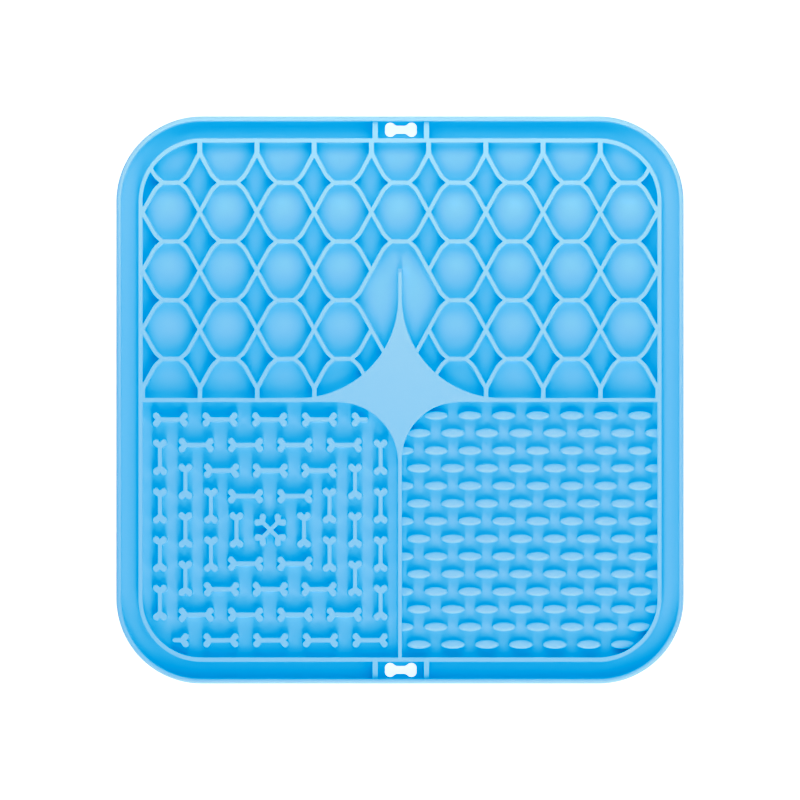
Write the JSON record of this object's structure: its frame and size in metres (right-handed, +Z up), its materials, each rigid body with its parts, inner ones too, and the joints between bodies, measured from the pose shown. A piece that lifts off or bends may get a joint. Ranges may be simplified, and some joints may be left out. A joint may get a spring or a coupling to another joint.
{
  "type": "lick mat",
  "caption": "Square moulded silicone lick mat with rounded corners, a raised rim, honeycomb, bone and oval relief fields around a star, and a hanging hole at two edges.",
  "frame": {"origin": "centre of the underside, the face that lies on the floor", "axes": "+Z up out of the relief side, +Y towards the honeycomb edge, +X towards the side with the ovals"},
  "size_m": [0.2, 0.2, 0.0085],
  "materials": {
    "silicone": "smooth satin sky blue silicone"
  },
  "bodies": {
    "root": {"mat": "silicone", "rim_left_top": "silicone", "hang_tab_top": "silicone", "rim_right_top": "silicone", "rim_left_bottom": "silicone", "hang_tab_bottom": "silicone", "rim_right_bottom": "silicone"}
  },
  "joints": []
}
